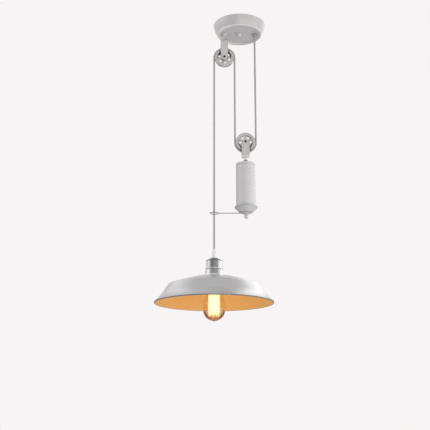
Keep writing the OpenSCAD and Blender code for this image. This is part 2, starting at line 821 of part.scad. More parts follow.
module screw_shell() {
    color("goldenrod") at_lamp() translate([0, 0, shell_foot])
        tube(shell_bore_r, shell_bore_r - shell_wall, shell_top - shell_foot);
}

// The bent centre tongue above the bulb, and the two terminal pins
module socket_contacts() {
    color("goldenrod") at_lamp() {
        translate([0, 0, shell_top + 0.3]) {
            cylinder(r = 3.4, h = contact_h() - 0.3);
            translate([0, -2, contact_h() - 0.9]) cube([contact_x(), 4, 0.6]);
        }
        for (s = [-1, 1]) translate([s * contact_x(), 0, shell_top + contact_h() - 0.3])
            cylinder(r = contact_r(), h = insert_top + 1.8 - shell_top - contact_h() + 0.3);
    }
}

module lead_cores() {
    low = insert_top + 1.8;
    color("sienna") at_lamp() for (s = [-1, 1]) {
        translate([s * contact_x(), 0, low]) cylinder(r = 1.1, h = 2);
        translate([s * contact_x(), 0, low + 2]) sphere(r = 1.1);
        translate([s * contact_x(), 0, low + 2]) rotate([0, -s * 90, 0])
            cylinder(r = 1.1, h = contact_x() - 1.5);
        translate([s * 1.5, 0, low + 2]) sphere(r = 1.1);
        translate([s * 1.5, 0, low + 2]) cylinder(r = 1.1, h = cord_end_h - low - 2);
    }
}

// ---- bulb

// Outer line of the glass, from the cap down to the tip
function glass_line() =
    let (top = bulb_neck_h, span = bulb_neck_h + bulb_low, grow = bulb_r - bulb_neck_r)
    concat([[bulb_neck_r - 0.9, top + 8], [bulb_neck_r - 0.9, top + 4]],
        [for (k = [0 : 14]) let (t = 1 - k / 14)
            [bulb_neck_r + grow * (1 + cos(180 * pow(t, 1.5))) / 2, span * t - bulb_low]],
        [for (a = [8 : 8 : 80]) [bulb_r * cos(a), -bulb_low - bulb_r * sin(a)]],
        [[3, -bulb_low - bulb_r * 0.996], [1.6, -bulb_low - bulb_r - 1.2],
         [0.9, -bulb_low - bulb_r - 1.5]]);

module bulb_glass() {
    line = glass_line();
    inner = beside(line, -glass_t);
    last = len(line) - 3;
    shell = concat(line, [[0, line[len(line) - 1][1]]],
        [[0, inner[last][1]]], reversed([for (i = [0 : last - 1]) inner[i]]));
    color("orange", 0.5) at_lamp() rotate_extrude() polygon(shell);
}

module bulb_screw_cap() {
    color("goldenrod") at_lamp() translate([0, 0, cap_foot])
        tube(screw_cap_r, screw_cap_r - 0.8, screw_cap_l);
}

module bulb_insulator() {
    color("black") at_lamp() translate([0, 0, cap_end - 3]) rotate_extrude() polygon([[0, 0],
        [screw_cap_r - 0.8, 0], [screw_cap_r - 0.8, 3], [5, 3 + 0.5 * tip_h],
        [0, 3 + 0.5 * tip_h]]);
}

module bulb_tip_contact() {
    color("silver") at_lamp() translate([0, 0, cap_end + 0.5 * tip_h])
        cylinder(r = 4.6, h = 0.5 * tip_h);
}

function cage_low() = -bulb_low - 0.6 * bulb_r;
function cage_top() = cage_low() + cage_h;
function stem_foot() = bulb_neck_h - 14.5;

// Flared glass foot, pinch and the rod that carries the supports
module bulb_stem() {
    in_r = bulb_neck_r - glass_t - 0.9;
    color("lightblue") at_lamp() {
        translate([0, 0, stem_foot()]) rotate_extrude() polygon([[0, 0], [3.4, 0],
            [3.8, 12], [in_r - 1.5, 20], [in_r, 22.5], [in_r - 1.2, 22.5], [2.4, 13],
            [0, 13]]);
        translate([0, 0, cage_low() + 2]) cylinder(r = stem_r, h = stem_foot() - cage_low() - 1);
    }
}

function cage_point(k) =
    let (a = 360 * k / (strands + 1))
    [cage_r * cos(a), cage_r * sin(a), k % 2 == 0 ? cage_top() : cage_low()];

module wire(a, b, r) {
    d = b - a;
    tilt = acos(d[2] / norm(d));
    translate(a) rotate([0, tilt, atan2(d[1], d[0])]) cylinder(r = r, h = norm(d), $fn = 10);
}

// One wire that runs down and up round the cage
module bulb_filament() {
    color("gold") at_lamp() {
        for (k = [0 : strands - 1]) wire(cage_point(k), cage_point(k + 1), filament_r);
        for (k = [0 : strands]) translate(cage_point(k)) sphere(r = 1.4 * filament_r, $fn = 10);
    }
}

// Spokes from the glass rod out to each turn of the filament, and the two leads
module filament_supports() {
    color("silver") at_lamp() {
        for (k = [1 : strands - 1]) {
            p = cage_point(k);
            out = unit([p[0], p[1], 0]);
            rod_end = [0, 0, p[2] + (k % 2 == 0 ? -4 : 4)] + (stem_r + support_r) * out;
            wire(rod_end, p - (1.4 * filament_r + support_r) * out, support_r);
        }
        for (k = [0, strands]) {
            p = cage_point(k) + [0, 0, 1.4 * filament_r + 1.2 * support_r];
            wire(p, [stem_r * sign(p[0]), 2 * stem_r * sign(p[1] + 0.1),
                stem_foot() - 1.2 * support_r], support_r);
        }
    }
}

ceiling_bracket();
centre_stud();
bracket_nut();
earth_screw();
canopy_cover();
cap_nut();
terminal_block();
terminal_screws();
cord_grip();
cord_grip_nut();
cord_tail();
upper_stud();
upper_stud_nuts();
upper_collar();
upper_fork();
upper_axle_bolt();
upper_axle_nut();
upper_axle_sleeve();
cord_over_upper_pulley();
cord_mid_run();
cord_anchor_run();
upper_pulley_wheel();
upper_pulley_bush();
lower_pulley_wheel();
lower_pulley_bush();
cord_under_lower_pulley();
lower_fork();
lower_axle_bolt();
lower_axle_nut();
lower_axle_sleeve();
lower_fork_nut();
lower_collar();
tie_rod();
weight_cap();
weight_casing();
ballast_slug();
weight_base();
weight_finial();
guide_arm();
cord_lamp_run();
cord_lamp_end();
cord_gland();
gland_nut();
holder_cup();
neck_ring();
shade_gallery();
shade();
clamping_ring();
socket_insert();
screw_shell();
socket_contacts();
lead_cores();
bulb_glass();
bulb_screw_cap();
bulb_insulator();
bulb_tip_contact();
bulb_stem();
bulb_filament();
filament_supports();
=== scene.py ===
import json
import math

import bpy
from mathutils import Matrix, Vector


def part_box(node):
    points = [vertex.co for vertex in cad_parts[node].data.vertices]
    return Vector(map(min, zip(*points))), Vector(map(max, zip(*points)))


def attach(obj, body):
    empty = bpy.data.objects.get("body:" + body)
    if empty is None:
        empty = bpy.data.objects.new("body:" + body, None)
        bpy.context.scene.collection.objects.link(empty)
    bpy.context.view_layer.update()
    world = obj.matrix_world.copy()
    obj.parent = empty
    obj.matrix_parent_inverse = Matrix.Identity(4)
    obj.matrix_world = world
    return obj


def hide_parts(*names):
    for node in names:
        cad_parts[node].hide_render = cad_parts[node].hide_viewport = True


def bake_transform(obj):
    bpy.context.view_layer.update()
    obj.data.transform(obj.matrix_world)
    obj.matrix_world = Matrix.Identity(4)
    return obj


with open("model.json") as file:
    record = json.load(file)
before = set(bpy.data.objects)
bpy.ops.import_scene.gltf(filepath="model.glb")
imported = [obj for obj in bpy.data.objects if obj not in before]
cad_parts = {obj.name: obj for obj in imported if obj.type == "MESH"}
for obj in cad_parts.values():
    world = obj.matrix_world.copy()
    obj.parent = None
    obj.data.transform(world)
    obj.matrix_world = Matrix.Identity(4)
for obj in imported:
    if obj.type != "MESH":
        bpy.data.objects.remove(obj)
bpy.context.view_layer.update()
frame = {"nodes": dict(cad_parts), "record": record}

MM = 0.001
FLOOR_Z = -2.45
ROOM_WHITE = (0.93, 0.905, 0.91, 1)

# The fitted camera: its place counted from the lamp's rim (m), its tilt (degrees) and its lens
CAMERA_RIGHT = 0.0025
CAMERA_AWAY = 2.290
CAMERA_BELOW = 0.319
CAMERA_TILT = 14.34
CAMERA_LENS = 66.06

# Values that many materials share
METAL_WARMTH = 0.01
FINE_BUMP = 0.0002
COARSE_BUMP = 0.0003
GLASS_IOR = 1.45

# The cord's braid: its strands, the length of one turn, and how finely the tube is drawn
BRAID_STRANDS = 6
BRAID_PITCH = 17 * MM
BRAID_SIDES = 24
BRAID_STEP = 0.7 * MM
BRAID_RELIEF = 0.16 * MM
TURN_STUB = 1.5 * MM

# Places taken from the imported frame, in metres
pulley_joints = {joint["name"]: joint["pos_m"] for joint in frame["record"]["behaviour"]["joints"]
                 if "pos_m" in joint}
UPPER_AXLE = Vector(pulley_joints["upper_pulley_spin"])
LOWER_AXLE = Vector(pulley_joints["lower_pulley_spin"])


def middle(node):
    low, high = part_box(node)
    return (Vector(low) + Vector(high)) / 2


LAMP_X = middle("shade").x
MID_X = middle("cord_mid_run").x
ANCHOR_X = middle("cord_anchor_run").x
CORD_R = (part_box("cord_lamp_run")[1][0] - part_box("cord_lamp_run")[0][0]) / 2
RIM_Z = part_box("shade")[0][2]
PITCH_R = MID_X - UPPER_AXLE.x


# ---------------------------------------------------------------- camera, light and floor

def set_camera():
    bpy.ops.object.camera_add(
        location=(LAMP_X + CAMERA_RIGHT, -CAMERA_AWAY, RIM_Z - CAMERA_BELOW),
        rotation=(math.radians(90 + CAMERA_TILT), 0, 0))
    camera = bpy.context.object
    camera.data.lens = CAMERA_LENS
    camera.data.sensor_width = 36
    camera.data.clip_end = 200
    bpy.context.scene.camera = camera


def area_light(name, place, aim, size, power):
    bpy.ops.object.light_add(type="AREA", location=place)
    lamp = bpy.context.object
    lamp.name = name
    lamp.data.size = size
    lamp.data.energy = power
    lamp.rotation_euler = (Vector(aim) - Vector(place)).to_track_quat("-Z", "Y").to_euler()


def light_studio():
    heart = (-0.04, 0, -0.5)
    area_light("key_right", (1.35, 1.45, 0.75), heart, 1.7, 13)
    area_light("side_right", (2.3, -0.9, -0.6), heart, 1.4, 12)
    area_light("side_left", (-2.3, -0.7, 0.05), heart, 1.4, 8)
    area_light("rim_left", (-1.70, 1.30, 1.30), heart, 1.6, 6)
    area_light("front_low", (0.7, -2.6, -1.3), heart, 2.2, 25)
    area_light("strip_right", (2.0, 0.75, -0.45), (0, 0, -0.65), 1.1, 4.2)
    area_light("floor_bounce", (0, -0.5, -2.3), heart, 1.8, 6)


def white_background():
    """Shows white to the eye and in reflections, and lights the part with a dimmer white."""
    world = bpy.data.worlds.new("studio")
    bpy.context.scene.world = world
    world.use_nodes = True
    tree = world.node_tree
    tree.nodes.clear()
    path = tree.nodes.new("ShaderNodeLightPath")
    seen = tree.nodes.new("ShaderNodeMath")
    seen.operation = "ADD"
    tree.links.new(path.outputs["Is Camera Ray"], seen.inputs[0])
    tree.links.new(path.outputs["Is Transmission Ray"], seen.inputs[1])
    shown = tree.nodes.new("ShaderNodeMath")
    shown.operation = "ADD"
    shown.use_clamp = True
    tree.links.new(seen.outputs[0], shown.inputs[0])
    tree.links.new(path.outputs["Is Glossy Ray"], shown.inputs[1])
    light = tree.nodes.new("ShaderNodeBackground")
    light.inputs["Color"].default_value = (0.98, 0.985, 1.0, 1)
    light.inputs["Strength"].default_value = 0.66
    white = tree.nodes.new("ShaderNodeBackground")
    white.inputs["Color"].default_value = ROOM_WHITE
    white.inputs["Strength"].default_value = 1
    both = tree.nodes.new("ShaderNodeMixShader")
    tree.links.new(shown.outputs[0], both.inputs[0])
    tree.links.new(light.outputs[0], both.inputs[1])
    tree.links.new(white.outputs[0], both.inputs[2])
    output = tree.nodes.new("ShaderNodeOutputWorld")
    tree.links.new(both.outputs[0], output.inputs["Surface"])


# ---------------------------------------------------------------- shader sums

class Socket:
    """An output in a material, with which sums are written as plain expressions."""

    def __init__(self, finish, output):
        self.finish = finish
        self.output = output

    def sum(self, operation, other=0.0, turned=False):
        first, second = (other, self) if turned else (self, other)
        return self.finish.add("ShaderNodeMath", {"operation": operation}, {0: first, 1: second})

    def __add__(self, other):
        return self.sum("ADD", other)

    def __radd__(self, other):
        return self.sum("ADD", other, True)

    def __sub__(self, other):
        return self.sum("SUBTRACT", other)

    def __rsub__(self, other):
        return self.sum("SUBTRACT", other, True)

    def __mul__(self, other):
        return self.sum("MULTIPLY", other)

    def __rmul__(self, other):
        return self.sum("MULTIPLY", other, True)

    def __truediv__(self, other):
        return self.sum("DIVIDE", other)

    def __rtruediv__(self, other):
        return self.sum("DIVIDE", other, True)

    def __pow__(self, other):
        return self.sum("POWER", other)

    def __rpow__(self, other):
        return self.sum("POWER", other, True)

    def sine(self):
        return self.sum("SINE")

    def root(self):
        return self.sum("SQRT")

    def larger(self, other):
        return self.sum("MAXIMUM", other)

    def between(self, low, high):
        """Runs smoothly from 0 at low to 1 at high."""
        return self.finish.add("ShaderNodeMapRange", {"interpolation_type": "SMOOTHSTEP"},
                               {"Value": self, "From Min": low, "From Max": high})


class Finish:
    """One material, from its texture coordinates to its shader."""

    def __init__(self, name):
        self.material = bpy.data.materials.new(name)
        self.material.use_nodes = True
        self.tree = self.material.node_tree
        self.tree.nodes.clear()

    def add(self, kind, settings=None, values=None, out=0):
        node = self.tree.nodes.new(kind)
        for name, value in (settings or {}).items():
            setattr(node, name, value)
        for key, value in (values or {}).items():
            if isinstance(value, Socket):
                self.tree.links.new(value.output, node.inputs[key])
            else:
                node.inputs[key].default_value = value
        return Socket(self, node.outputs[out])

    def place(self, centre=(0, 0, 0), scale=(1, 1, 1)):
        """Object coordinates counted from a centre, stretched by a scale."""
        coords = self.add("ShaderNodeTexCoord", out="Object")
        moved = self.add("ShaderNodeVectorMath", {"operation": "SUBTRACT"},
                         {0: coords, 1: tuple(centre)})
        return self.add("ShaderNodeVectorMath", {"operation": "MULTIPLY"},
                        {0: moved, 1: tuple(scale)})

    def axes(self, vector):
        split = self.add("ShaderNodeSeparateXYZ", values={0: vector})
        outputs = split.output.node.outputs
        return [Socket(self, outputs[k]) for k in range(3)]

    def noise(self, vector, scale, detail=3.0, roughness=0.5):
        return self.add("ShaderNodeTexNoise", {"noise_dimensions": "3D"},
                        {"Vector": vector, "Scale": scale, "Detail": detail,
                         "Roughness": roughness})

    def mixed(self, factor, first, second):
        return self.add("ShaderNodeMix", {"data_type": "RGBA"},
                        {0: factor, 6: first, 7: second}, out=2)

    def bump(self, height, strength, distance):
        return self.add("ShaderNodeBump", values={"Height": height, "Strength": strength,
                                                  "Distance": distance})

    def shader(self, values):
        return self.add("ShaderNodeBsdfPrincipled", values=values)

    def done(self, surface):
        end = self.tree.nodes.new("ShaderNodeOutputMaterial")
        self.tree.links.new(surface.output, end.inputs["Surface"])
        return self.material


def grey(level, warmth=0.0):
    return (level * (1 + warmth), level, level * (1 - warmth), 1)


def round_lines(finish, centre, axis, fineness):
    """Fine rings round a turned piece, and the distance from its axis."""
    x, y, z = finish.axes(finish.place(centre))
    along = {"Y": y, "Z": z}[axis]
    across = {"Y": z, "Z": y}[axis]
    distance = (x * x + across * across).root()
    line = finish.add("ShaderNodeCombineXYZ", values={0: distance, 1: along})
    return finish.noise(line, fineness, 2.0, 0.6), distance


def turned_tone(finish, centre, axis, fineness):
    """Turning lines, the distance from their axis, and a tone of the lines and faint clouds."""
    lines, distance = round_lines(finish, centre, axis, fineness)
    clouds = finish.noise(finish.place(), 38, 4)
    return lines, distance, 0.5 * lines + 0.5 * clouds


def varied_grey(finish, tone, level, warmth=METAL_WARMTH, spread=0.1):
    """A grey that goes with the tone from a little under its level to a little over it."""
    return finish.mixed(tone, grey(level * (1 - spread), warmth),
                        grey(level * (1 + spread), warmth))


def turned_surface(finish, colour, metallic, least_roughness, tone, lines):
    return finish.done(finish.shader({
        "Base Color": colour, "Metallic": metallic, "Roughness": least_roughness + 0.12 * tone,
        "Normal": finish.bump(lines, 0.25, FINE_BUMP)}))


def turned_metal(name, level, roughness, metallic, centre, fineness=1600, pale=None,
                 pale_above=None):
    """Metal with fine turning lines and faint clouding, paler above a height if one is given."""
    finish = Finish(name)
    lines, _, tone = turned_tone(finish, centre, "Z", fineness)
    colour = varied_grey(finish, tone, level)
    if pale:
        _, _, height = finish.axes(finish.place())
        blur = 0.3 * MM
        colour = finish.mixed(height.between(pale_above - blur, pale_above + blur), colour,
                              varied_grey(finish, tone, pale))
    return turned_surface(finish, colour, metallic, roughness - 0.06, tone, lines)


def weight_satin(centre):
    """Satin counterweight, paler to its right by painted light, with dark seams and painted
    shadow under its bead.
    """
    finish = Finish("weight_satin")
    lines, _, tone = turned_tone(finish, centre, "Z", 1400)
    x, _, height = finish.axes(finish.place(centre))
    casing_low, casing_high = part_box("weight_casing")
    cone_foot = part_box("weight_base")[0][2]
    # Height, half width and darkness of each dark line; the lines under the bead and on the cone
    # are seams deepened by painted shadow
    seams = [(casing_high[2], 0.8 * MM, 0.5), (casing_low[2], 0.8 * MM, 0.2),
             (casing_low[2] - 8.8 * MM, 1.4 * MM, 0.5),
             (cone_foot + 4.2 * MM, 1.2 * MM, 0.45)]
    seams_and_shadow = 0.0
    for place, half, depth in seams:
        apart = height - place
        seams_and_shadow = depth * (1 - (apart * apart).root().between(0.2 * half, half)) + seams_and_shadow
    # Painted light: the right side is paler, as if lit, and the left side shaded
    left = finish.mixed(tone, grey(0.46, METAL_WARMTH), grey(0.56, METAL_WARMTH))
    right = finish.mixed(tone, grey(0.53, METAL_WARMTH), grey(0.63, METAL_WARMTH))
    colour = finish.mixed(x.between(-4 * MM, 24 * MM), left, right)
    return turned_surface(finish, finish.mixed(seams_and_shadow, colour, grey(0.10)), 0.35, 0.50, tone,
                          lines)


def wheel_polish(name, axle, fork_side):
    """Polished pulley wheel with painted shade in half its recess and on a part of its rim.

    At rest the painted shade lies beside the fork. It belongs to the wheel, so it turns with it.
    """
    finish = Finish(name)
    lines, distance, tone = turned_tone(finish, axle, "Y", 1600)
    x, _, height = finish.axes(finish.place(axle, (1, 1, fork_side)))
    on_rim = distance.between(22.4 * MM, 23.4 * MM)
    recess = distance.between(15 * MM, 19 * MM) * (1 - on_rim)
    beside_fork = 1 - (x * x).between((14 * MM) ** 2, (19 * MM) ** 2)
    rim = on_rim * height.between(9 * MM, 14 * MM)
    # Painted shade: the recess and the rim darken on the side of the fork
    painted_shade = 0.85 * recess * height.between(-8 * MM, 8 * MM) + 0.8 * rim * beside_fork
    unshaded = finish.mixed(tone, grey(0.43, METAL_WARMTH), grey(0.53, METAL_WARMTH))
    return turned_surface(finish, finish.mixed(painted_shade, unshaded, grey(0.07)), 0.9, 0.20, tone,
                          lines)


def canopy_satin():
    """Satin canopy with painted light: its wall shaded darker than its face, its lip and wall lit
    paler to the left.
    """
    finish = Finish("canopy_satin")
    lines, distance, tone = turned_tone(finish, (0, 0, 0), "Z", 1200)
    lip_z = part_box("canopy_cover")[0][2]
    x, _, height = finish.axes(finish.place((0, 0, lip_z)))
    # Painted light: a shaded wall, and a lit lip and wall on the left
    face, lit_lip, shaded_wall, lit_wall = [
        varied_grey(finish, tone, level, 0.012) for level in (0.56, 0.74, 0.46, 0.56)]
    lip = finish.mixed(x.between(-50 * MM, -10 * MM), lit_lip, face)
    wall = finish.mixed(x.between(-76 * MM, -40 * MM), lit_wall, shaded_wall)
    underside = finish.mixed(distance.between(59.4 * MM, 60.6 * MM), face, lip)
    on_wall = height.between(2 * MM, 5 * MM) * distance.between(63 * MM, 64 * MM)
    return turned_surface(finish, finish.mixed(on_wall, underside, wall), 0.4, 0.44, tone,
                          lines)


def brushed_metal(name, level, roughness, metallic, grain=(900, 900, 26), warmth=METAL_WARMTH,
                  lit_foot=None):
    """Sheet metal with brush strokes and worn patches, and a foot made paler by painted light
    below a height if one is given.
    """
    finish = Finish(name)
    strokes = finish.noise(finish.place(scale=grain), 1, 3, 0.65)
    clouds = finish.noise(finish.place(), 45, 4)
    tone = 0.6 * strokes + 0.4 * clouds
    colour = varied_grey(finish, tone, level, warmth, 0.12)
    # Painted light: the foot below this height is paler
    if lit_foot is not None:
        _, _, height = finish.axes(finish.place())
        colour = finish.mixed(height.between(lit_foot - 1 * MM, lit_foot), grey(0.85), colour)
    return finish.done(finish.shader({
        "Base Color": colour, "Metallic": metallic,
        "Roughness": roughness - 0.07 + 0.14 * tone,
        "Normal": finish.bump(strokes, 0.2, FINE_BUMP)}))


def polished_metal(name, centre, dark, bright, lit_foot=None, shaded_crown=None):
    """Polished turned metal with painted reflection, darker where it faces the eye, with a
    painted highlight on its foot or painted shade on its crown.
    """
    finish = Finish(name)
    lines, _ = round_lines(finish, centre, "Z", 900)
    grazing = finish.add("ShaderNodeLayerWeight", values={"Blend": 0.5}, out="Facing")
    _, _, height = finish.axes(finish.place())
    # Painted reflection: darker where the surface faces the eye, brighter at grazing sides
    tone = grazing.between(0.0, 0.42) * (0.88 + 0.24 * lines)
    colour = finish.mixed(tone, grey(dark), grey(bright))
    # Painted highlight on the foot
    if lit_foot:
        colour = finish.mixed(height.between(lit_foot - 1 * MM, lit_foot), grey(0.70), colour)
    # Painted shade on the crown
    if shaded_crown:
        colour = finish.mixed(height.between(shaded_crown - 0.5 * MM, shaded_crown + 1 * MM), colour,
                              grey(0.13))
    return finish.done(finish.shader({
        "Base Color": colour, "Metallic": 1.0, "Roughness": 0.3 + 0.08 * lines,
        "Normal": finish.bump(lines, 0.2, FINE_BUMP)}))


def moulded(name, colour, roughness, grain=900, transmission=0.0):
    """Moulded or glazed material with a very fine skin; the colour has three parts."""
    finish = Finish(name)
    skin = finish.noise(finish.place(), grain, 3)
    clouds = finish.noise(finish.place(), 60, 3)
    dark = tuple(0.88 * c for c in colour) + (1,)
    return finish.done(finish.shader({
        "Base Color": finish.mixed(clouds, dark, colour + (1,)),
        "Roughness": roughness - 0.05 + 0.1 * skin,
        "Transmission Weight": transmission,
        "Normal": finish.bump(skin, 0.12, FINE_BUMP)}))


def braided(name):
    """Two-tone textile braid, drawn along the cord's own UV map."""
    finish = Finish(name)
    coords = finish.add("ShaderNodeTexCoord", out="UV")
    round_it, along, _ = finish.axes(coords)
    turns = 2 * math.pi * BRAID_STRANDS
    left = (turns * (round_it + along)).sine()
    right = (turns * (round_it - along)).sine()
    over = left.larger(right)
    fibre = finish.noise(finish.place(), 2600, 2)
    thread = 0.8 * over + 0.4 * fibre
    colour = finish.mixed(thread.between(-0.4, 1.1), (0.15, 0.148, 0.15, 1),
                          (0.45, 0.445, 0.45, 1))
    return finish.done(finish.shader({
        "Base Color": colour, "Roughness": 0.8 + 0.1 * fibre, "Sheen Weight": 0.15,
        "Normal": finish.bump(fibre, 0.3, COARSE_BUMP)}))


def glass(name, colour, roughness):
    finish = Finish(name)
    haze = finish.noise(finish.place(), 90, 3)
    pale = tuple(min(1.0, c * 1.06) for c in colour) + (1,)
    return finish.done(finish.shader({
        "Base Color": finish.mixed(haze, colour + (1,), pale),
        "Roughness": roughness + 0.02 * haze, "IOR": GLASS_IOR, "Transmission Weight": 1.0}))


def amber_glass(tip, cage_foot):
    """Thin amber glass: brown where the eye grazes its lower wall, with a painted glow before the
    filament.

    Heights are counted from the bulb's tip.
    """
    finish = Finish("bulb_amber_glass")
    grazing = finish.add("ShaderNodeLayerWeight", values={"Blend": 0.5}, out="Facing")
    haze = finish.noise(finish.place(), 60, 3)
    _, _, height = finish.axes(finish.place((0, 0, tip)))
    low = 1 - height.between(29 * MM, 35 * MM)
    side = 0.25 + 0.75 * height.between(4 * MM, 14 * MM)
    edge = (grazing + 0.1 * haze).between(0.22, 0.62) * low * side
    wall = finish.mixed(low, (0.99, 0.90, 0.72, 1), (0.92, 0.74, 0.48, 1))
    clear = finish.mixed(height.between(8 * MM, 26 * MM), (0.82, 0.53, 0.28, 1), wall)
    # Painted glow: the glass in front of the filament shines by itself
    before_cage = 1 - (grazing + 0.04 * haze).between(0.04, 0.14)
    painted_glow = before_cage * height.between(cage_foot - 2 * MM, cage_foot + 4 * MM)
    return finish.done(finish.shader({
        "Base Color": finish.mixed(edge, clear, (0.22, 0.07, 0.015, 1)),
        "Roughness": 0.005 + 0.01 * haze, "IOR": GLASS_IOR, "Transmission Weight": 1.0,
        "Emission Color": finish.mixed(painted_glow, (0, 0, 0, 1), (1.0, 0.80, 0.48, 1)),
        "Emission Strength": 0.30}))


def glowing(name, colour, strength):
    finish = Finish(name)
    warm = finish.noise(finish.place(), 120, 2)
    hottest = tuple(min(1.0, c * 1.1) for c in colour) + (1,)
    hot = finish.mixed(warm, colour + (1,), hottest)
    return finish.done(finish.shader({
        "Base Color": hot, "Roughness": 0.6, "Emission Color": hot,
        "Emission Strength": strength}))


# ---------------------------------------------------------------- modelling helpers

def start_clean():
    if bpy.context.object and bpy.context.object.mode != "OBJECT":
        bpy.ops.object.mode_set(mode="OBJECT")
    bpy.ops.object.select_all(action="DESELECT")


def close_piece(name, material, smooth_angle):
    """Leaves edit mode, merges doubles, turns the faces outwards and gives the finish."""
    bpy.ops.mesh.select_all(action="SELECT")
    bpy.ops.mesh.remove_doubles(threshold=0.00001)
    bpy.ops.mesh.normals_make_consistent(inside=False)
    bpy.ops.object.mode_set(mode="OBJECT")
    piece = bpy.context.object
    piece.name = name
    bpy.ops.object.transform_apply(location=True, rotation=True, scale=True)
    bpy.ops.object.shade_smooth_by_angle(angle=math.radians(smooth_angle))
    piece.data.materials.clear()
    piece.data.materials.append(material)
    return piece


def turned(name, axis, profile, material, sides, smooth_angle):
    """A closed ring drawn out along a profile of (radius, height) that closes on itself."""
    start_clean()
    radius, height = profile[0]
    bpy.ops.mesh.primitive_circle_add(vertices=sides, radius=radius,
                                      location=(axis[0], axis[1], height))
    bpy.ops.object.mode_set(mode="EDIT")
    bpy.ops.mesh.select_all(action="SELECT")
    for (r0, z0), (r1, z1) in zip(profile, profile[1:]):
        bpy.ops.mesh.extrude_edges_move(TRANSFORM_OT_translate={"value": (0, 0, z1 - z0)})
        bpy.ops.transform.resize(value=(r1 / r0, r1 / r0, 1),
                                 center_override=(axis[0], axis[1], z1))
    bpy.ops.mesh.extrude_edges_move(
        TRANSFORM_OT_translate={"value": (0, 0, profile[0][1] - profile[-1][1])})
    scale = profile[0][0] / profile[-1][0]
    bpy.ops.transform.resize(value=(scale, scale, 1),
                             center_override=(axis[0], axis[1], profile[0][1]))
    return close_piece(name, material, smooth_angle)


def ride(piece, body, *nodes, slot=None):
    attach(piece, body)
    if nodes:
        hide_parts(*nodes)
    return piece


# ---------------------------------------------------------------- cords

def straight(x, z_top, z_end):
    """Points every step down a vertical run, with the sideways direction of the wheels' plane."""
    count = max(2, round(abs(z_end - z_top) / BRAID_STEP))
    return [(Vector((x, 0, z_top + (z_end - z_top) * k / count)), Vector((1, 0, 0)))
            for k in range(count + 1)]


def half_round(centre, up):
    """Points along a half ring on a wheel, from its left side to its right side."""
    count = round(math.pi * PITCH_R / BRAID_STEP)
    route = []
    for k in range(count + 1):
        angle = math.pi * (1 - k / count)
        out = Vector((math.cos(angle), 0, up * math.sin(angle)))
        route.append((centre + out * PITCH_R, out))
    return route


def half_turn(axle, up, x_in, x_out):
    """A half ring on a wheel with a short straight stub at either end."""
    stub_z = axle.z - up * TURN_STUB
    route = (straight(x_in, stub_z, axle.z)[:-1] + half_round(axle, up)
             + straight(x_out, axle.z, stub_z)[1:])
    return [(point, out if abs(out.z) > 0 else Vector((-1 if point.x < axle.x else 1, 0, 0)))
            for point, out in route]


def braided_cord(name, route, material):
    """A tube along a route whose skin rises and falls with the strands of the braid."""
    vertices, faces, around = [], [], []
    across = Vector((0, 1, 0))
    travelled = 0.0
    for k, (point, out) in enumerate(route):
        if k:
            travelled += (point - route[k - 1][0]).length
        for side in range(BRAID_SIDES):
            turn = side / BRAID_SIDES
            along = travelled / BRAID_PITCH
            angle = 2 * math.pi * turn
            left = math.sin(2 * math.pi * BRAID_STRANDS * (turn + along))
            right = math.sin(2 * math.pi * BRAID_STRANDS * (turn - along))
            radius = CORD_R - BRAID_RELIEF * (1 - max(left, right)) / 2
            vertices.append(point + radius * (math.cos(angle) * out + math.sin(angle) * across))
        around.append(travelled / BRAID_PITCH)
    for k in range(len(route) - 1):
        for side in range(BRAID_SIDES):
            after = (side + 1) % BRAID_SIDES
            faces.append((k * BRAID_SIDES + side, k * BRAID_SIDES + after,
                          (k + 1) * BRAID_SIDES + after, (k + 1) * BRAID_SIDES + side))
    faces.append(tuple(range(BRAID_SIDES)))
    faces.append(tuple((len(route) - 1) * BRAID_SIDES + s for s in range(BRAID_SIDES)))
    mesh = bpy.data.meshes.new(name)
    mesh.from_pydata(vertices, [], faces)
    layer = mesh.uv_layers.new(name="UVMap").data
    for face in mesh.polygons:
        sides = [mesh.loops[i].vertex_index % BRAID_SIDES for i in face.loop_indices]
        wraps = 0 in sides and BRAID_SIDES - 1 in sides
        for i, side in zip(face.loop_indices, sides):
            row = mesh.loops[i].vertex_index // BRAID_SIDES
            turn = 1.0 if wraps and side == 0 else side / BRAID_SIDES
            layer[i].uv = (turn, around[row])
    cord = bpy.data.objects.new(name, mesh)
    bpy.context.collection.objects.link(cord)
    start_clean()
    bpy.context.view_layer.objects.active = cord
    cord.select_set(True)
    bpy.ops.object.mode_set(mode="EDIT")
    bpy.ops.mesh.select_all(action="SELECT")
    bpy.ops.mesh.normals_make_consistent(inside=False)
    bpy.ops.object.mode_set(mode="OBJECT")
    bpy.ops.object.shade_smooth()
    mesh.materials.append(material)
    return cord


def make_cords():
    """Three straight runs, and the half turns on the two wheels."""
    braid = braided("cord_braid")
    lamp_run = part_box("cord_lamp_run")
    anchor_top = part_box("cord_anchor_run")[1][2]
    # How far a run goes into its fitting, and how far a stretch begins from an axle
    reach = 3 * MM

    run = braided_cord("braided_lamp_run",
                       straight(LAMP_X, UPPER_AXLE.z, lamp_run[0][2] - reach), braid)
    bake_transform(run)
    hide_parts("cord_lamp_run")

    run = braided_cord("braided_mid_run", straight(MID_X, UPPER_AXLE.z, LOWER_AXLE.z), braid)
    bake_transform(run)
    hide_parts("cord_mid_run")

    run = braided_cord("braided_anchor_run",
                       straight(ANCHOR_X, anchor_top + reach, LOWER_AXLE.z), braid)
    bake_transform(run)
    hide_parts("cord_anchor_run")

    ride(braided_cord("braided_over_upper_pulley", half_turn(UPPER_AXLE, 1, LAMP_X, MID_X),
                      braid),
         "ceiling_part", "cord_over_upper_pulley", slot="cord_braid")
    ride(braided_cord("braided_under_lower_pulley",
                      half_turn(LOWER_AXLE, -1, MID_X, ANCHOR_X), braid),
         "counterweight", "cord_under_lower_pulley", slot="cord_braid")


# ---------------------------------------------------------------- the shade and the bulb

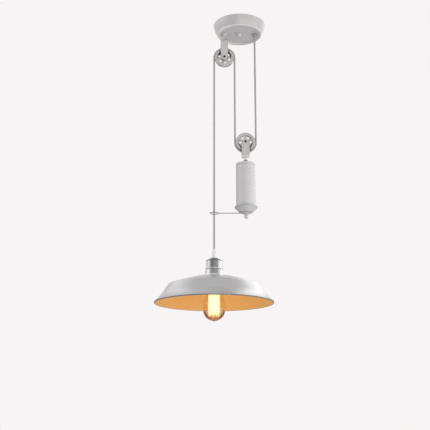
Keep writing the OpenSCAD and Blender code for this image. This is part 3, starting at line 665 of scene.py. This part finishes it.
def arc(centre, radius, start, end, count):
    """Points of an arc in the (radius, height) plane, angles in degrees."""
    return [(centre[0] + radius * math.cos(math.radians(start + (end - start) * k / count)),
             centre[1] + radius * math.sin(math.radians(start + (end - start) * k / count)))
            for k in range(count + 1)]


def rounded(points, count):
    """An open line through (radius, height, round) corners, with its rounds drawn."""
    line = []
    for k, (x, y, rounding) in enumerate(points):
        if not rounding:
            line.append((x, y))
            continue
        here = Vector((x, y))
        back = (Vector(points[k - 1][:2]) - here).normalized()
        on = (Vector(points[k + 1][:2]) - here).normalized()
        half = back.angle(on) / 2
        centre = here + (back + on).normalized() * rounding / math.sin(half)
        first = here + back * rounding / math.tan(half) - centre
        last = here + on * rounding / math.tan(half) - centre
        start = math.degrees(math.atan2(first.y, first.x))
        end = math.degrees(math.atan2(last.y, last.x))
        shorter_way = (end - start + 540) % 360 - 180
        line += arc(centre, rounding, start, start + shorter_way, count)
    return line


def beside(line, distance):
    """The same line moved sideways, to the left of its direction."""
    moved = []
    for k, point in enumerate(line):
        here = Vector(point)
        before = (here - Vector(line[k - 1])).normalized() if k else None
        after = (Vector(line[k + 1]) - here).normalized() if k + 1 < len(line) else None
        before = before or after
        after = after or before
        first, last = Vector((-before.y, before.x)), Vector((-after.y, after.x))
        mean = (first + last).normalized()
        moved.append(tuple(here + mean * distance / mean.dot(last)))
    return moved


def lacquer_inside(finish):
    """Warm gold lacquer with painted light from the burning bulb: paler and glowing, brighter
    towards the crown.
    """
    x, y, _ = finish.axes(finish.place((LAMP_X, 0, RIM_Z)))
    distance = (x * x + y * y).root()
    lines, _ = round_lines(finish, (LAMP_X, 0, RIM_Z), "Z", 700)
    clouds = finish.noise(finish.place(), 14, 4)
    # Painted light: paler and glowing more towards the crown, near the bulb
    near = 1 - distance.between(0.03, 0.19)
    light = 0.6 * near + 0.2 * clouds + 0.12 * lines
    base = finish.mixed(light, (0.50, 0.245, 0.060, 1), (0.70, 0.355, 0.078, 1))
    painted_glow = finish.mixed(light, (0.49, 0.216, 0.045, 1), (0.70, 0.342, 0.056, 1))
    return finish.shader({"Base Color": base, "Roughness": 0.42 + 0.1 * lines,
                          "Emission Color": painted_glow, "Emission Strength": 0.41})


def shade_materials():
    """The shade's outside, the lacquer inside it, and its dark rolled edge."""
    outside = Finish("shade_spun_metal")
    centre = (LAMP_X, 0, RIM_Z)
    lines, _ = round_lines(outside, centre, "Z", 900)
    clouds = outside.noise(outside.place(), 22, 4)
    tone = 0.65 * lines + 0.35 * clouds
    metal = outside.done(outside.shader({
        "Base Color": outside.mixed(tone, grey(0.41), grey(0.51)), "Metallic": 0.75,
        "Roughness": 0.28 + 0.12 * tone, "Normal": outside.bump(lines, 0.3, COARSE_BUMP)}))
    inside = Finish("shade_gold_lacquer")
    gold = inside.done(lacquer_inside(inside))
    edge = turned_metal("shade_dark_edge", 0.19, 0.4, 0.6, centre)
    return metal, gold, edge


def make_shade():
    """The spun shade: outer skin, rolled edge and inner skin in one closed wall, in mm."""
    rim_r = 175
    wall = 0.8
    edge_r = 2.2
    edge_x = rim_r - edge_r
    # Radius, height over the rim and rounding at each corner of the outer skin
    corners = [(20, 76, 0), (62, 76, 20), (135, 54.5, 13), (154.5, 25, 30),
               (edge_x + 0.4, 2 * edge_r - 0.35, 0)]
    outer = rounded(corners, 10)
    inner = beside(outer, -wall)
    rolled = arc((edge_x, edge_r), edge_r, 78, -150, 14)
    profile = [(r * MM, RIM_Z + z * MM)
               for r, z in outer[:-1] + rolled + list(reversed(inner[:-1]))]
    metal, gold, edge = shade_materials()
    shade = turned("spun_shade", (LAMP_X, 0), profile, metal, sides=160, smooth_angle=50)
    shade.data.materials.append(gold)
    shade.data.materials.append(edge)
    gold_slot, edge_slot = 1, 2
    for face in shade.data.polygons:
        out = Vector((face.center.x - LAMP_X, face.center.y, 0)).length
        height = face.center.z - RIM_Z
        if height < 1.5 * edge_r * MM and out > (edge_x - 0.7 * edge_r) * MM:
            face.material_index = edge_slot
        elif face.normal.z < 0 and out < (rim_r - 2) * MM:
            face.material_index = gold_slot
    ride(shade, "lamp", "shade", slot="shade_enamel")


def make_bulb():
    """The bulb's glass in one closed wall, down from the neck to the tip and back inside."""
    low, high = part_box("bulb_glass")
    tip, top = low[2], high[2]
    belly_r = (high[0] - low[0]) / 2
    neck_r = 13.2 * MM
    wall = 0.9 * MM
    axis_gap = 0.1 * MM
    heart = tip + 1.5 * MM + belly_r
    line = [(neck_r - wall, top), (neck_r - wall, top - 4 * MM)]
    steps = 28
    span = top - 8 * MM - heart
    for k in range(steps + 1):
        up = 1 - k / steps
        swell = (1 + math.cos(math.pi * up ** 1.5)) / 2
        line.append((neck_r + (belly_r - neck_r) * swell, heart + span * up))
    line += [(belly_r * math.cos(math.radians(a)), heart - belly_r * math.sin(math.radians(a)))
             for a in range(5, 84, 5)]
    line += [(3 * MM, heart - belly_r * 0.997), (1.5 * MM, heart - belly_r - 1.1 * MM),
             (axis_gap, tip)]
    inner = beside(line, -wall)
    inner = [(max(r, axis_gap), z) for r, z in inner[:-3]] + [(axis_gap, inner[-3][1])]
    cage_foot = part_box("bulb_filament")[0][2] - tip
    bulb = turned("amber_bulb", (LAMP_X, 0), line + list(reversed(inner)),
                  amber_glass(tip, cage_foot), sides=72, smooth_angle=60)
    ride(bulb, "bulb", "bulb_glass", slot="amber_glass")


# ---------------------------------------------------------------- finishes of the CAD nodes

def worn_brass():
    finish = Finish("brass_parts")
    wear = finish.noise(finish.place(), 160, 4)
    colour = finish.mixed(wear, (0.62, 0.40, 0.14, 1), (0.80, 0.58, 0.24, 1))
    return finish.done(finish.shader({
        "Base Color": colour, "Metallic": 1.0, "Roughness": 0.28 + 0.15 * wear}))


def hidden_braid():
    """The cord's braid inside the canopy and the lampholder, where it has no UV map."""
    finish = Finish("cord_hidden_braid")
    weave = finish.noise(finish.place(), 1500, 2)
    colour = finish.mixed(weave, (0.09, 0.085, 0.08, 1), (0.24, 0.23, 0.22, 1))
    return finish.done(finish.shader({
        "Base Color": colour, "Roughness": 0.8 + 0.1 * weave,
        "Normal": finish.bump(weave, 0.5, 0.0004)}))


def dress(material, *names):
    for name in names:
        for slot in frame["nodes"][name].material_slots:
            slot.material = material


def dress_frame():
    lamp_axis = (LAMP_X, 0, 0)
    weight_axis = (LOWER_AXLE.x, 0, 0)
    # Heights at which a finish changes, and where painted light and shade begin on the lower
    # fork, the gallery and the cup
    fork_foot_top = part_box("lower_fork")[0][2] + 3.5 * MM
    collar_neck = middle("lower_collar").z + 0.5 * MM
    gallery_foot_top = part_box("shade_gallery")[0][2] + 9 * MM
    crown_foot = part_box("holder_cup")[1][2] - 9.5 * MM
    dress(canopy_satin(), "canopy_cover")
    dress(turned_metal("cap_nut_satin", 0.54, 0.45, 0.5, (0, 0, 0), fineness=1200), "cap_nut")
    dress(brushed_metal("fork_satin", 0.52, 0.45, 0.5, warmth=0.02), "upper_fork", "upper_collar")
    dress(brushed_metal("lower_fork_satin", 0.46, 0.45, 0.5, warmth=0.02,
                        lit_foot=fork_foot_top), "lower_fork")
    dress(weight_satin(weight_axis), "weight_cap", "weight_casing", "weight_base",
          "weight_finial")
    dress(wheel_polish("upper_wheel_polish", UPPER_AXLE, 1), "upper_pulley_wheel")
    dress(wheel_polish("lower_wheel_polish", LOWER_AXLE, -1), "lower_pulley_wheel")
    dress(turned_metal("collar_dark", 0.16, 0.4, 0.8, weight_axis, pale=0.55,
                       pale_above=collar_neck), "lower_collar")
    dress(brushed_metal("guide_wire", 0.26, 0.4, 0.8, grain=(30, 900, 900)), "guide_arm")
    dress(polished_metal("cup_polish", lamp_axis, 0.165, 0.60, shaded_crown=crown_foot),
          "holder_cup")
    dress(polished_metal("ring_polish", lamp_axis, 0.34, 0.55), "neck_ring")
    dress(polished_metal("gallery_polish", lamp_axis, 0.25, 0.62,
                         lit_foot=gallery_foot_top), "shade_gallery")
    dress(brushed_metal("plated_parts", 0.5, 0.32, 0.9), "centre_stud", "bracket_nut",
          "upper_stud", "upper_stud_nuts", "upper_axle_nut", "upper_axle_sleeve",
          "lower_axle_nut", "lower_axle_sleeve", "lower_fork_nut", "tie_rod",
          "bulb_tip_contact", "filament_supports")
    dress(brushed_metal("bracket_zinc", 0.5, 0.5, 0.8, grain=(300, 300, 300)),
          "ceiling_bracket")
    dress(brushed_metal("bolt_black", 0.015, 0.35, 0.3, grain=(500, 500, 500)),
          "upper_axle_bolt", "lower_axle_bolt")
    dress(brushed_metal("slug_cast", 0.06, 0.7, 0.6, grain=(200, 200, 200)), "ballast_slug")
    dress(worn_brass(), "earth_screw", "terminal_screws", "screw_shell", "socket_contacts",
          "bulb_screw_cap", "upper_pulley_bush", "lower_pulley_bush")
    dress(moulded("grip_moulded", (0.30, 0.30, 0.305), 0.45), "cord_grip", "cord_grip_nut")
    dress(moulded("gland_milky", (0.90, 0.89, 0.90), 0.35, transmission=0.1), "cord_gland",
          "gland_nut")
    dress(moulded("block_moulded", (0.72, 0.70, 0.64), 0.5), "terminal_block")
    dress(moulded("clamping_moulded", (0.62, 0.58, 0.48), 0.45), "clamping_ring")
    dress(moulded("insert_glazed", (0.78, 0.75, 0.68), 0.2, grain=300), "socket_insert")
    dress(moulded("core_sleeves", (0.25, 0.12, 0.06), 0.5), "lead_cores")
    dress(moulded("insulator_black", (0.02, 0.02, 0.02), 0.15), "bulb_insulator")
    dress(glass("stem_glass", (0.95, 0.96, 0.95), 0.02), "bulb_stem")
    dress(glowing("filament_hot", (1.0, 0.82, 0.54), 2.6), "bulb_filament")
    dress(hidden_braid(), "cord_tail", "cord_lamp_end")


def make_floor():
    """A pale floor at a room's depth, which shows paler than it lights."""
    start_clean()
    bpy.ops.mesh.primitive_plane_add(size=60, location=(0, 0, FLOOR_Z))
    floor = bpy.context.object
    floor.name = "pale_floor"
    finish = Finish("pale_floor")
    speck = finish.noise(finish.place(), 3, 3)
    colour = finish.mixed(speck, (0.80, 0.79, 0.79, 1), (0.83, 0.82, 0.82, 1))
    matt = finish.shader({"Base Color": colour, "Roughness": 0.9})
    white = finish.add("ShaderNodeEmission", values={"Color": ROOM_WHITE})
    seen = finish.add("ShaderNodeLightPath", out="Is Camera Ray")
    floor.data.materials.append(finish.done(
        finish.add("ShaderNodeMixShader", values={0: 0.6 * seen, 1: matt, 2: white})))


scene = bpy.context.scene
scene.view_settings.view_transform = "Standard"
set_camera()
make_cords()
light_studio()
white_background()
make_floor()
make_shade()
make_bulb()
dress_frame()
start_clean()
